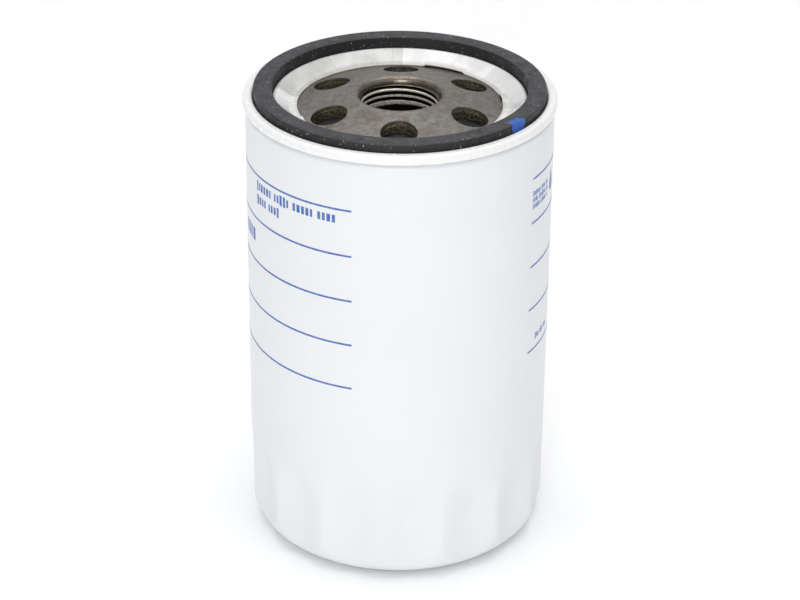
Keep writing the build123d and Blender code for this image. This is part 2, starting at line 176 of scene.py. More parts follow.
class FilterColours(bpy.types.PropertyGroup):
    """Colours of the finishes."""

    enamel: colour("Enamel", "White stoved enamel on the can", "#E9EBEE")
    retainer: colour("Retainer enamel", "Enamel on the seal retainer", "#F0F0EF")
    ink: colour("Ink", "Blue printing ink", "#2C62B4")
    rubber: colour("Rubber", "Cut gasket rubber", "#141416")
    steel: colour("Bare steel", "Oily steel of the thread plate", "#8D8B88")
    stain: colour("Stain", "Dried rust-proofing oil", "#6A5333")
    paper: colour("Paper", "Resin-treated filter paper", "#D2AE6A")
    plastisol: colour("Plastisol", "Cured adhesive of the end caps", "#C4743A")
    floor: colour("Floor", "Pale studio floor", "#FFFFFF")


def sizes():
    return bpy.context.scene.filter_sizes


def colours():
    return bpy.context.scene.filter_colours


# Shapes

def rounded_line(corners, steps=8):
    """Points of a bent line in the plane of radius and height. Corners are (radius, height, rounding):
    a rounding is an arc tangent to both runs, swept evenly from one tangent point to the other."""
    spots = np.array([corner[:2] for corner in corners], float)
    parts = [spots[:1]]
    for here, before, after, corner in zip(spots[1:-1], spots, spots[2:], corners[1:-1]):
        bend = corner[2]
        if bend <= 0:
            parts.append(here[None])
            continue
        back = (before - here) / np.linalg.norm(before - here)
        ahead = (after - here) / np.linalg.norm(after - here)
        half = np.arccos(np.clip(back @ ahead, -1, 1)) / 2
        middle = (back + ahead) / np.linalg.norm(back + ahead)
        centre = here + middle * bend / np.sin(half)
        first = here + back * bend / np.tan(half) - centre
        last = here + ahead * bend / np.tan(half) - centre
        sweep = np.pi - 2 * half
        share = np.linspace(0, 1, steps + 1)[:, None]
        arc = first * np.sin((1 - share) * sweep) + last * np.sin(share * sweep)
        parts.append(centre + arc / np.sin(sweep))
    parts.append(spots[-1:])
    return np.vstack(parts)


def spaced(line, longest):
    """The same line with evenly spaced points added, so that no run is longer than a limit."""
    runs = np.linalg.norm(np.diff(line, axis=0), axis=1)
    counts = np.maximum(np.ceil(runs / longest).astype(int), 1)
    parts = [
        np.linspace(start, end, count, endpoint=False)
        for start, end, count in zip(line[:-1], line[1:], counts)
    ]
    return np.vstack(parts + [line[-1:]])


def around(columns):
    """Angles evenly spread round a full turn."""
    return np.arange(columns) * (2 * np.pi / columns)


def spun(radius, height, turn):
    """Points at (radius cos turn, radius sin turn, height), from arrays that broadcast together."""
    radius, height, turn = np.broadcast_arrays(radius, height, turn)
    return np.stack([radius * np.cos(turn), radius * np.sin(turn), height], -1)


def smooth_step(value, low, high):
    """Zero below low, one above high, and an S curve between them."""
    share = np.clip((value - low) / (high - low), 0, 1)
    return share * share * (3 - 2 * share)


def soft_lower(first, second, softness):
    """The lower of two surfaces, with the crease between them rounded."""
    gap = np.clip((second - first) / softness, -40, 40)
    return first - softness * np.log1p(np.exp(-gap))


def ripple(turn, height, seed):
    """A gentle waviness from -1 to 1: a few sine waves round the part and along it."""
    draw = np.random.default_rng(seed)
    total = 0
    for _ in range(5):
        count = draw.integers(2, 9)
        shift, rise = draw.uniform(0, 2 * np.pi, 2)
        total = total + np.sin(count * turn + shift + height * rise / (20 * MM)) / 5
    return total


def grid_faces(index):
    """Four-cornered faces between neighbouring rows and columns of a grid of point numbers."""
    return np.stack([index[:-1, :-1], index[:-1, 1:], index[1:, 1:], index[1:, :-1]], -1)


def outward(name, points, faces, material, body, weld=False):
    """Object from points and faces, with its doubles merged if asked and its faces turned outwards."""
    mesh = bpy.data.meshes.new(name)
    mesh.from_pydata(points.reshape(-1, 3).tolist(), [], faces)
    work = bmesh.new()
    work.from_mesh(mesh)
    if weld:
        bmesh.ops.remove_doubles(work, verts=work.verts, dist=WELD)
    bmesh.ops.recalc_face_normals(work, faces=work.faces)
    work.to_mesh(mesh)
    work.free()
    return place_mesh(name, mesh, material, body)


def make_piece(name, points, material, body, closed_rows=False, capped=False):
    """Mesh of a grid of points, rows by columns, closed round its columns, with its poles welded."""
    rows, columns = points.shape[:2]
    index = np.arange(rows * columns).reshape(rows, columns)
    ends = [index[0, ::-1].tolist(), index[-1].tolist()] if capped else []
    if closed_rows:
        index = np.vstack([index, index[:1]])
    index = np.hstack([index, index[:, :1]])
    quads = grid_faces(index)
    faces = quads.reshape(-1, 4).tolist() + ends
    return outward(name, points, faces, material, body, weld=True)


def place_mesh(name, mesh, material, body):
    """Object for a finished mesh, riding on a body if one is given, and finished with the given material."""
    mesh.shade_smooth()
    mesh.set_sharp_from_angle(angle=SHARP_ANGLE)
    mesh.materials.append(material)
    piece = bpy.data.objects.new(name, mesh)
    bpy.context.scene.collection.objects.link(piece)
    if body:
        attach(piece, body)
    return piece


def joined(name, blocks, material, body, ringed=False):
    """One mesh of many like grids: blocks has the shape block, row, column, xyz. The columns close on
    themselves. The rows do too if ringed, and otherwise the end rows are capped."""
    count, rows, columns = blocks.shape[:3]
    index = np.arange(rows * columns).reshape(rows, columns)
    wrapped = np.hstack([index, index[:, :1]])
    if ringed:
        wrapped = np.vstack([wrapped, wrapped[:1]])
    quads = grid_faces(wrapped)
    starts = np.arange(count)[:, None, None] * rows * columns
    faces = (starts + quads.reshape(1, -1, 4)).reshape(-1, 4).tolist()
    if not ringed:
        caps = np.stack([index[0, ::-1], index[-1]])
        faces += (starts + caps[None]).reshape(-1, columns).tolist()
    return outward(name, blocks, faces, material, body)


# Heights and radii shared by the pieces

def seam_radii(s):
    """Radii of the rolled seam's layers, from its outside in."""
    outside = LID_HIGH.x
    chuck = outside - 3 * s.lid_sheet - 2 * s.can_wall - 4 * s.seam_gap
    return outside, chuck


def plate_top(s, radius):
    """Height of the plate's cone at a radius."""
    crown = GASKET_HIGH.z - s.plate_drop
    return crown - (radius - s.mouth_radius) * math.tan(s.plate_slope)


def gasket_radii(s):
    outer = GASKET_HIGH.x
    return outer - s.gasket_width, outer


def lid_opening(s):
    return gasket_radii(s)[0] - s.skirt_width


def hole_circle(s):
    return lid_opening(s) - s.hole_margin - s.hole_radius


# Materials

def add_node(tree, kind, inputs=None, **settings):
    """Adds a node, gives it its settings, and sets or links each input by name or number."""
    node = tree.nodes.new(kind)
    for name, value in settings.items():
        setattr(node, name, value)
    for key, value in (inputs or {}).items():
        socket = node.inputs[key]
        if isinstance(value, bpy.types.NodeSocket):
            tree.links.new(value, socket)
        else:
            socket.default_value = value
    return node


class Finish:
    """A material being made: its Principled shader, with sockets set by name, and its pattern nodes, which
    read the piece's own coordinates."""

    def __init__(self, name, **shader):
        material = bpy.data.materials.new(name)
        material.use_nodes = True
        self.tree = material.node_tree
        self.tree.nodes.clear()
        inputs = {key.replace("_", " "): value for key, value in shader.items()}
        self.surface = self.add("ShaderNodeBsdfPrincipled", inputs)
        self.add("ShaderNodeOutputMaterial", {"Surface": self.surface.outputs["BSDF"]})
        self.where = self.add("ShaderNodeTexCoord").outputs["Object"]

    def add(self, kind, inputs=None, **settings):
        return add_node(self.tree, kind, inputs, **settings)

    def noise(self, millimetres, detail=3.0, rough=0.55, stretch=(1, 1, 1)):
        """Noise with features of a real size, stretched along the axes if asked."""
        where = self.where
        if stretch != (1, 1, 1):
            where = self.add("ShaderNodeMapping", {"Vector": where, "Scale": stretch}).outputs[0]
        settings = {"Vector": where, "Scale": 1 / (millimetres * MM), "Detail": detail, "Roughness": rough}
        return self.add("ShaderNodeTexNoise", settings).outputs["Fac"]

    def ramp(self, value, low, high, first=0.0, last=1.0):
        """Smooth change from a first value to a last one as the input goes from low to high."""
        inputs = {"Value": value, "From Min": low, "From Max": high, "To Min": first, "To Max": last}
        return self.add("ShaderNodeMapRange", inputs, interpolation_type="SMOOTHSTEP").outputs["Result"]

    def blend(self, share, first, second):
        """Mix of two colours, each a colour or a socket."""
        first, second = (
            tint if isinstance(tint, bpy.types.NodeSocket) else (*tint, 1) for tint in (first, second))
        return self.add("ShaderNodeMix", {0: share, 6: first, 7: second}, data_type="RGBA").outputs[2]

    def calc(self, operation, *values):
        """Math on one or two values, each a number or a socket."""
        return self.add("ShaderNodeMath", dict(enumerate(values)), operation=operation).outputs[0]

    def times(self, product, *others):
        for other in others:
            product = self.calc("MULTIPLY", product, other)
        return product

    def stained(self, base, code, *shares):
        """The base colour with another laid over it, as much as the product of the shares says."""
        return self.blend(self.times(*shares), base, linear(code))

    def relief(self, height, millimetres, strength=1.0, under=None):
        """Bump from a height pattern of a real depth, on top of another if given."""
        inputs = {"Height": height, "Distance": millimetres * MM, "Strength": strength}
        if under is not None:
            inputs["Normal"] = under
        bump = self.add("ShaderNodeBump", inputs).outputs["Normal"]
        self.tree.links.new(bump, self.surface.inputs["Normal"])
        return bump

    def from_axis(self):
        """Distance from the part's axis, the angle about it, and the height."""
        x, y, z = self.add("ShaderNodeSeparateXYZ", {0: self.where}).outputs
        flat = self.add("ShaderNodeCombineXYZ", {0: x, 1: y}).outputs[0]
        radius = self.add("ShaderNodeVectorMath", {0: flat}, operation="LENGTH").outputs["Value"]
        return radius, self.calc("ARCTAN2", y, x), z

    def link(self, **sockets):
        for name, value in sockets.items():
            self.tree.links.new(value, self.surface.inputs[name.replace("_", " ")])


def stoved_enamel():
    """Stoved polyester enamel sprayed on steel: a hard even gloss with fine orange peel and a few specks."""
    tint = colours().enamel[:]
    look = Finish("stoved_enamel", IOR=1.5, Coat_Weight=0.12, Coat_Roughness=0.12)
    cloud = look.noise(26, 2.0)
    shade = tuple(c * 0.985 for c in tint)
    base = look.blend(look.ramp(cloud, 0.3, 0.7), shade, tint)
    dust = look.ramp(look.noise(0.9, 1.0), 0.765, 0.80)
    base = look.stained(base, "#A9A49A", dust, 0.22)
    rough = look.ramp(look.noise(6), 0.3, 0.7, 0.30, 0.38)
    look.relief(look.noise(2.2, 1.0), 0.004)
    look.link(Base_Color=base, Roughness=rough)


def retainer_enamel():
    """The same enamel on the pressed retainer, thinner, with handling marks and oil film. Its skirt is a
    little grey, partly from a grime cloud and partly from painted shade that steps from panel to panel, and
    it has painted shade along its creases.
    """
    tint = colours().retainer[:]
    look = Finish("retainer_enamel", IOR=1.5, Coat_Weight=0.45, Coat_Roughness=0.08)
    radius, turn, _ = look.from_axis()
    wall, opening = gasket_radii(sizes())[0], lid_opening(sizes())
    bowl = look.ramp(radius, wall - 0.4 * MM, wall + 0.4 * MM, 1.0, 0.0)
    cloud = look.ramp(look.noise(7, 2.0), 0.35, 0.7)
    # Painted shade: each panel of the skirt gets its own grey, as if its facet caught less light, mixed with
    # a grime cloud.
    cells = {"W": look.times(turn, 1.3), "Scale": 1.0}
    panel = look.add("ShaderNodeTexVoronoi", cells, voronoi_dimensions="1D").outputs["Color"]
    facet_shade = look.add("ShaderNodeSeparateColor", {0: panel}).outputs[0]
    grime_and_facet_shade = look.calc("ADD", look.times(cloud, 0.35), look.times(facet_shade, 0.65))
    base = look.blend(look.times(grime_and_facet_shade, bowl), tint, linear("#B9B9B6"))
    # Painted shade along the creases between the skirt's panels, broken up by noise.
    crease = look.calc("SINE", look.calc("ADD", look.times(turn, CREASES), CREASE_START))
    crease = look.calc("ABSOLUTE", crease)
    crease = look.times(look.ramp(crease, 0.0, 0.05, 1.0, 0.0), bowl)
    crease_shade_breakup = look.ramp(look.noise(3.0, 2.0), 0.45, 0.6)
    base = look.stained(base, "#8F8F8C", crease, crease_shade_breakup, 0.35)
    film = look.ramp(radius, opening, opening + 1.3 * MM, 0.4, 0.0)
    base = look.stained(base, "#B9B39A", film)
    scuff = look.ramp(look.noise(0.8, 4.0, 0.7, (1, 1, 3)), 0.70, 0.76)
    base = look.stained(base, "#8E8B83", scuff, 0.3)
    rough = look.ramp(look.noise(3), 0.3, 0.7, 0.18, 0.30)
    look.relief(look.noise(2.6, 1.0), 0.008)
    look.link(Base_Color=base, Roughness=rough)


def printing_ink():
    """Screen-printed ink: a thin satin film, a little uneven where the mesh has dragged."""
    tint = colours().ink[:]
    look = Finish("printing_ink", IOR=1.45)
    cloud = look.ramp(look.noise(0.7, 3.0), 0.35, 0.7)
    paler = tuple(c * 0.72 + 0.14 for c in tint)
    rough = look.ramp(look.noise(1.5), 0.3, 0.7, 0.34, 0.5)
    look.link(Base_Color=look.blend(cloud, tint, paler), Roughness=rough)


def lathe_cut_rubber():
    """Lathe-cut nitrile rubber: dark, satin, with talc specks, handling smears, a dab of marking paint, and a
    painted sheen that lightens its top face.
    """
    tint = colours().rubber[:]
    look = Finish("lathe_cut_rubber", IOR=1.52)
    radius, turn, height = look.from_axis()
    smear = look.ramp(look.noise(3.5, 4.0, 0.6), 0.38, 0.72)
    base = look.blend(smear, tint, tuple(c * 1.4 for c in tint))
    # Painted sheen: the top sealing face is painted lighter grey, its strength varied by the bloom noise.
    face = look.ramp(height, GASKET_HIGH.z - 0.25 * MM, GASKET_HIGH.z - 0.02 * MM)
    bloom = look.ramp(look.noise(5.0, 3.0), 0.3, 0.7, 0.45, 0.85)
    base = look.stained(base, "#38383D", face, bloom)
    talc = look.ramp(look.noise(0.45, 1.0), 0.725, 0.75)
    base = look.stained(base, "#C9C8C2", talc, 0.8)
    paint = paint_dab(look, radius, turn)
    base = look.stained(base, "#2B5BB0", paint)
    rough = look.ramp(look.noise(2.2, 3.0), 0.3, 0.7, 0.42, 0.62)
    cut = look.noise(0.35, 3.0, 0.6, (1, 1, 0.25))
    look.relief(cut, 0.03)
    look.link(Base_Color=base, Roughness=rough)


def paint_dab(look, radius, turn):
    """Where the paint lies: an arc of the gasket's outer edge, ragged at its ends."""
    ragged = look.ramp(look.noise(1.2, 3.0), 0.0, 1.0, -0.03, 0.03)
    centre = math.radians(-38)
    off = look.calc("ADD", look.calc("SUBTRACT", turn, centre), ragged)
    off = look.calc("ABSOLUTE", off)
    across = look.ramp(off, 0.062, 0.072, 1.0, 0.0)
    edge = look.calc("ADD", radius, look.times(ragged, 0.02))
    inner, outer = gasket_radii(sizes())
    middle = 0.5 * (inner + outer)
    edge = look.ramp(edge, middle - 0.05 * MM, middle + 0.25 * MM)
    return look.times(across, edge)


def plate_steel():
    """Hot-rolled low-carbon steel as pressed and tapped: grey mill surface and oil stains, with a painted
    highlight on the thread crests and painted shade in the thread roots and at the bottom of the bore."""
    look = Finish("plate_steel")
    radius, _, height = look.from_axis()
    mill = look.ramp(look.noise(1.6, 5.0, 0.62), 0.32, 0.7)
    base = look.blend(mill, linear("#6F6B67"), colours().steel[:])
    grain = look.ramp(look.noise(0.28, 3.0, 0.7), 0.35, 0.68)
    base = look.stained(base, "#B3ADA4", grain, 0.35)
    oil = look.ramp(look.noise(5.5, 5.0, 0.6), 0.48, 0.68)
    base = look.blend(look.times(oil, 0.32), base, colours().stain[:])
    spots = look.ramp(look.noise(0.6, 2.0), 0.66, 0.74)
    base = look.stained(base, "#3C332A", spots, 0.55)
    s = sizes()
    mouth = look.ramp(radius, s.mouth_radius - 0.9 * MM, s.mouth_radius + 0.3 * MM, 1.0, 0.0)
    gold = look.ramp(look.noise(2.4, 4.0, 0.6), 0.3, 0.62, 0.25, 0.85)
    base = look.stained(base, "#7C7565", mouth, gold)
    burnt = look.ramp(look.noise(1.6, 3.0, 0.6), 0.58, 0.70, 0.0, 0.8)
    base = look.stained(base, "#6B5238", mouth, burnt)
    # Painted shade in the thread's roots, from about two millimetres below the top of the bore downwards.
    low = look.ramp(height, PLATE_HIGH.z - 2.4 * MM, PLATE_HIGH.z - 2.0 * MM, 1.0, 0.0)
    bored = look.ramp(radius, s.root_radius + 0.1 * MM, s.root_radius + 0.2 * MM, 1.0, 0.0)
    painted_root_shade = look.times(look.ramp(radius, s.root_radius - 0.7 * MM, s.root_radius - 0.4 * MM), low)
    base = look.stained(base, "#2B241B", painted_root_shade, bored)
    # Painted shade on the thread's crests at the bottom of the bore, and a painted highlight on the crests
    # above it.
    cut = look.ramp(height, PLATE_LOW.z + 1.0 * MM, PLATE_LOW.z + 1.6 * MM)
    crest = look.ramp(radius, s.crest_radius + 0.07 * MM, s.crest_radius + 0.21 * MM, 1.0, 0.0)
    below = look.times(crest, look.calc("SUBTRACT", 1.0, cut))
    base = look.stained(base, "#35322B", below)
    crest = look.times(crest, cut)
    base = look.stained(base, "#F1ECE2", crest)
    metallic = look.ramp(crest, 0.0, 1.0, 0.9, 0.5)
    rough = look.ramp(look.noise(1.1, 4.0), 0.3, 0.7, 0.36, 0.58)
    rough = look.calc("SUBTRACT", rough, look.times(bored, 0.16))
    calm = look.calc("SUBTRACT", 1.0, bored)
    grit = look.times(look.noise(0.3, 4.0, 0.7), calm)
    fine = look.relief(grit, 0.025)
    wave = look.times(look.noise(2.4, 3.0), calm)
    look.relief(wave, 0.08, 1.0, fine)
    look.link(Base_Color=base, Roughness=rough, Metallic=metallic)


def torn_steel():
    """Fractured wall of a punched hole: coarse torn grain, browned by oil, with painted shade deeper down."""
    look = Finish("torn_steel", Metallic=0.75)
    coarse = look.ramp(look.noise(0.5, 5.0, 0.7), 0.35, 0.68)
    base = look.blend(coarse, linear("#38342A"), linear("#857D66"))
    _, _, height = look.from_axis()
    fleck = look.ramp(look.noise(0.35, 2.0), 0.60, 0.68)
    base = look.stained(base, "#B5AA88", fleck, 0.7)
    # Painted shade: the wall is painted darker towards the bottom of the hole.
    painted_deep_shade = look.ramp(height, PLATE_LOW.z + 5.2 * MM, PLATE_LOW.z + 7.0 * MM, 0.35, 0.0)
    base = look.stained(base, "#1B1A15", painted_deep_shade)
    look.relief(look.noise(0.45, 5.0, 0.7), 0.12)
    look.link(Base_Color=base, Roughness=look.ramp(coarse, 0.0, 1.0, 0.5, 0.7))


def rolled_steel(name, light, dark, metallic, smooth, coarse):
    """Thin rolled sheet or drawn wire: fine lines along the rolling direction and slight tarnish."""
    look = Finish(name, Metallic=metallic)
    lines = look.noise(0.4, 3.0, 0.6, (1, 1, 0.06))
    base = look.blend(look.ramp(lines, 0.3, 0.7), linear(dark), linear(light))
    tarnish = look.ramp(look.noise(6, 4.0), 0.5, 0.75)
    base = look.stained(base, "#6B6353", tarnish, 0.3)
    look.relief(lines, 0.006)
    look.link(Base_Color=base, Roughness=look.ramp(look.noise(2.5), 0.3, 0.7, smooth, coarse))


def resin_paper():
    """Cellulose paper stiffened with resin: felted fibres, matte, honey coloured."""
    tint = colours().paper[:]
    look = Finish("resin_paper", IOR=1.45)
    fibres = look.noise(0.5, 5.0, 0.7, (1, 1, 0.4))
    base = look.blend(look.ramp(fibres, 0.3, 0.7), tuple(c * 0.72 for c in tint), tint)
    resin = look.ramp(look.noise(7, 3.0), 0.45, 0.7)
    base = look.stained(base, "#B98A47", resin, 0.4)
    look.relief(fibres, 0.03)
    look.link(Base_Color=base, Roughness=look.ramp(fibres, 0.3, 0.7, 0.75, 0.9))


def cast_plastisol():
    """Plastisol cured in the caps: soft sheen, small bubbles and flow marks."""
    tint = colours().plastisol[:]
    look = Finish("cast_plastisol", IOR=1.5)
    flow = look.ramp(look.noise(4, 3.0), 0.35, 0.7)
    bubbles = look.ramp(look.noise(0.8, 1.0), 0.66, 0.72)
    base = look.blend(flow, tint, tuple(c * 0.8 for c in tint))
    base = look.stained(base, "#7C4218", bubbles, 0.5)
    look.relief(bubbles, 0.08, -1.0)
    look.link(Base_Color=base, Roughness=look.ramp(flow, 0.0, 1.0, 0.42, 0.58))


def moulded_rubber():
    """Compression-moulded nitrile: almost black, matte, with a faint bloom."""
    look = Finish("moulded_rubber", IOR=1.52)
    bloom = look.ramp(look.noise(2.5, 4.0), 0.42, 0.75)
    base = look.blend(bloom, linear("#19191A"), linear("#343433"))
    look.relief(look.noise(0.3, 3.0), 0.01)
    look.link(Base_Color=base, Roughness=look.ramp(bloom, 0.0, 1.0, 0.5, 0.68))


def studio_floor():
    """Seamless pale paper: matte, with the faintest mottle."""
    tint = colours().floor[:]
    look = Finish("studio_floor", Roughness=0.9)
    cloud = look.ramp(look.noise(120), 0.3, 0.7)
    look.link(Base_Color=look.blend(cloud, tint, tuple(c * 0.985 for c in tint)))


def once(maker, *words):
    """The material that a maker gives, made the first time it is asked for."""
    key = words[0] if words else maker.__name__
    if key not in bpy.data.materials:
        maker(*words)
    return bpy.data.materials[key]


# Pieces

def flute_limit(s, radius, height, turn, inset):
    """Radius of the fluted can: each flute is a flat at the middle of its share of the turn, hollowed a
    little, that curves outwards above its full height. The lower of the flat and the round wall counts,
    with a soft ridge between neighbouring flutes."""
    share = 2 * np.pi / s.flute_count
    off = (turn - s.flute_angle + share / 2) % share - share / 2
    depth = s.body_radius * (1 - np.cos(share / 2))
    rise = s.flute_top - s.flute_full
    bend = (rise ** 2 + depth ** 2) / (2 * depth)
    lift = np.clip(height - s.flute_full, 0, None) ** 2 / (2 * bend)
    across = np.clip(np.abs(off) / (share / 2), 0, 1)
    fade = 1 - smooth_step(height, s.flute_full, s.flute_top)
    hollow = s.flute_hollow * np.cos(across * np.pi / 2) ** 2 * fade
    flat = (s.body_radius - depth - inset - hollow + lift) / np.cos(off)
    return soft_lower(radius, flat, s.ridge_softness)


def build_can():
    """Spun outline of the drawn can, its radius limited by the flutes."""
    s = sizes()
    outside, chuck = seam_radii(s)
    wall = s.can_wall
    inner_face = chuck + s.lid_sheet + s.seam_gap
    hook = outside - s.lid_sheet - s.seam_gap
    top = LID_HIGH.z - s.lid_sheet - s.seam_gap
    seam_low = LID_HIGH.z - s.seam_height
    shoulder = seam_low - s.shoulder_drop
    tip = seam_low + s.lid_sheet + 2 * s.seam_gap
    slope_end = s.recess_radius + s.recess_slope
    soft = s.recess_slope / 2
    outer = [
        (0, s.recess_depth, 0),
        (s.recess_radius, s.recess_depth, soft),
        (slope_end, 0, soft),
        (s.body_radius, 0, s.corner_radius),
        (s.body_radius, shoulder + 0.1 * MM, 1.0 * MM),
        (inner_face + wall, shoulder + s.shoulder_height + 0.1 * MM, 0.4 * MM),
        (inner_face + wall, top - wall, 0.1 * MM),
        (hook - wall, top - wall, 0.1 * MM),
        (hook - wall, tip, 0),
    ]
    inner = [
        (hook, tip, 0),
        (hook, top, 0.5 * MM),
        (inner_face, top, 0.5 * MM),
        (inner_face, shoulder + s.shoulder_height - 0.15 * MM, 0.8 * MM),
        (s.body_radius - wall, shoulder - 0.15 * MM, 0.6 * MM),
        (s.body_radius - wall, wall, s.corner_radius - wall),
        (slope_end, wall, soft),
        (s.recess_radius, s.recess_depth + wall, soft),
        (0, s.recess_depth + wall, 0),
    ]
    longest = 2.6 * MM
    outer_line = spaced(rounded_line(outer, 12), longest)
    inner_line = spaced(rounded_line(inner, 6), 2 * longest)
    line = np.vstack([outer_line, inner_line])
    inset = np.repeat([0, wall], [len(outer_line), len(inner_line)])[:, None]
    turn = around(s.flute_count * 32)[None]
    radius, height = line[:, :1], line[:, 1:]
    fluted = flute_limit(s, radius, height, turn, inset)
    fluted = np.where(height < s.flute_top * 1.3, fluted, radius)
    points = spun(np.maximum(fluted * (radius > 0), 0), height, turn)
    piece = make_piece("can_skin", points, once(stoved_enamel), "can")
    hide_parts("can_shell")


def lip_lift(turn):
    """How far the retainer's lip stands off the plate: two short stretches where it has sprung up."""
    degrees = np.degrees(turn)
    total = 0
    for start, end, height in ((50, 77, 0.42), (3, 14, 0.50), (199, 204, 0.35)):
        total = total + height * MM * (
            smooth_step(degrees, start, start + 2) - smooth_step(degrees, end - 2, end))
    return total


def build_retainer():
    """Spun outline of the pressed ring, with faint panels round its skirt and a lip that lifts in places."""
    s = sizes()
    outside, chuck = seam_radii(s)
    sheet = s.lid_sheet
    gasket_inner = gasket_radii(s)[0]
    floor = GASKET_LOW.z
    rim = floor - sheet
    opening = lid_opening(s)
    wall_out = gasket_inner - s.groove_gap
    wall_in = wall_out - sheet
    seam_low = LID_HIGH.z - s.seam_height
    tip = seam_low + 2 * sheet
    cover = chuck + sheet + s.can_wall + 2 * s.seam_gap
    lip_top = plate_top(s, opening) + 0.03 * MM + sheet
    turn_top = rim + 0.06 * MM + sheet
    fold = GASKET_HIGH.z - s.fold_drop
    slope = (fold - turn_top) / (wall_in - opening - s.skirt_lip)
    above = fold + 0.5 * sheet + 0.5 * sheet * slope
    below = fold - 0.5 * sheet - 0.5 * sheet * slope
    loop = [
        (0.5 * (wall_out + chuck), floor, 0),
        (chuck, floor, 0.3 * MM),
        (chuck, LID_HIGH.z, 0.7 * MM),
        (outside, LID_HIGH.z, 0.8 * MM),
        (outside, seam_low, 0.6 * MM),
        (cover, seam_low, 0.5 * MM),
        (cover, tip, 0),
        (cover + sheet, tip, 0),
        (cover + sheet, seam_low + sheet, 0.05 * MM),
        (outside - sheet, seam_low + sheet, 0.15 * MM),
        (outside - sheet, LID_HIGH.z - sheet, 0.3 * MM),
        (chuck + sheet, LID_HIGH.z - sheet, 0.2 * MM),
        (chuck + sheet, rim, 0.8 * MM),
        (wall_in, rim, 0.8 * MM),
        (wall_in, below, 0.3 * MM),
        (opening + s.skirt_lip, turn_top - sheet, 0.6 * MM),
        (opening, lip_top - sheet, 0.2 * MM),
        (opening, lip_top, 0.24 * MM),
        (opening + s.skirt_lip, turn_top, 2.6 * MM),
        (wall_out, above, 0.8 * MM),
        (wall_out, floor, 0.3 * MM),
        (0.5 * (wall_out + chuck), floor, 0),
    ]
    line = spaced(rounded_line(loop, 7), 0.9 * MM)[:-1]
    turn = around(480)[None]
    radius, height = line[:, :1], line[:, 1:]
    near_lip = 1 - smooth_step(radius, opening + 0.6 * MM, opening + 2.6 * MM)
    on_skirt = smooth_step(radius, opening + 1.2 * MM, opening + 3 * MM) * (
        1 - smooth_step(radius, wall_in - 0.8 * MM, wall_in))
    panels = np.abs(np.sin(turn * CREASES + CREASE_START)) ** 0.5 - 0.8
    rise = near_lip * lip_lift(turn) + on_skirt * panels * 0.10 * MM
    points = spun(radius, height + rise, turn)
    piece = make_piece(
        "retainer_skin", points, once(retainer_enamel), "can", closed_rows=True)
    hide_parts("seal_retainer")


def build_gasket():
    """Spun square outline with eased corners, its walls wavering a few hundredths of a millimetre."""
    s = sizes()
    inner, outer = gasket_radii(s)
    low, high = GASKET_LOW.z, GASKET_HIGH.z
    middle = 0.5 * (inner + outer)
    edge = s.gasket_edge
    loop = [
        (middle, low, 0),
        (outer, low, edge),
        (outer, high, edge),
        (inner, high, edge),
        (inner, low, edge),
        (middle, low, 0),
    ]
    line = spaced(rounded_line(loop, 5), 0.5 * MM)[:-1]
    turn = around(480)[None]
    radius, height = line[:, :1], line[:, 1:]
    side = (radius - middle) / (outer - inner) * 2
    pull = 0.04 * MM * (ripple(turn, height, 3) + 1) * side
    points = spun(radius - pull, height, turn)
    piece = make_piece(
        "gasket_skin", points, once(lathe_cut_rubber), "can", closed_rows=True)
    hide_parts("outer_gasket")


def build_torn_walls():
    """Lining of each oil hole: a tube whose inside is smooth for its upper third and torn below, where its
    radius shrinks by a random grain. Its ends follow the plate's cone."""
    s = sizes()
    draw = np.random.default_rng(11)
    rows, columns, count = 26, 96, s.hole_count
    shy = 0.02 * MM
    turn = around(columns)[None, None]
    share = np.linspace(0, 1, rows)[None, :, None]
    grain = draw.uniform(0, 1, (count, rows, columns))
    grain = (grain + np.roll(grain, 1, 2) + np.roll(grain, -1, 2) + np.roll(grain, 2, 2)) / 4
    torn = smooth_step(share, 0.25, 0.4)
    inner = s.hole_radius - shy - torn * (0.03 + 0.30 * grain) * MM
    rolled = 0.25 * MM * (1 - smooth_step(share, 0.0, 0.12))
    inner = inner + rolled
    outer = np.full_like(inner, s.hole_radius + 0.3 * MM)
    radius = np.concatenate([inner, outer[:, ::-1]], 1)
    down = np.concatenate([share, share[:, ::-1]], 1)
    centre = s.hole_angle + np.arange(count)[:, None, None] * 2 * np.pi / count
    circle = hole_circle(s)
    x = circle * np.cos(centre) + radius * np.cos(turn)
    y = circle * np.sin(centre) + radius * np.sin(turn)
    upright = s.plate_thickness / math.cos(s.plate_slope)
    high = plate_top(s, np.hypot(x, y)) - shy
    points = np.stack([x, y, high - down * (upright - 2 * shy)], -1)
    joined("hole_walls", points, once(torn_steel), "can", ringed=True)


def on_can(s, turn, height, proud):
    """Points on the can's side: turn is measured from the front, -Y, towards +X."""
    radius = s.body_radius + proud
    return np.stack([radius * np.sin(turn), -radius * np.cos(turn), height], -1)


def ink_strip(s, turn, height, half):
    """Grid of a closed strip of ink along a path on the can: four points across, two of them sunk."""
    up = np.array([-1, 1, 1, -1])
    proud = np.array([s.ink_height, s.ink_height, -s.ink_sunk, -s.ink_sunk])
    turn, height, half = (np.asarray(v)[..., None] for v in (turn, height, half))
    turn = np.broadcast_to(turn, (turn + up).shape)
    return on_can(s, turn, height + half * up, proud)


def rule_height(s, number, turn):
    """Height of a rule: level at the front left, and rising round the back to its right-hand end."""
    level = GASKET_HIGH.z - s.rule_drop - number * s.rule_pitch
    back = s.rule_start - np.radians(50)
    return level + s.rule_rise * smooth_step(-turn, -back, 2 * np.pi - s.rule_end)


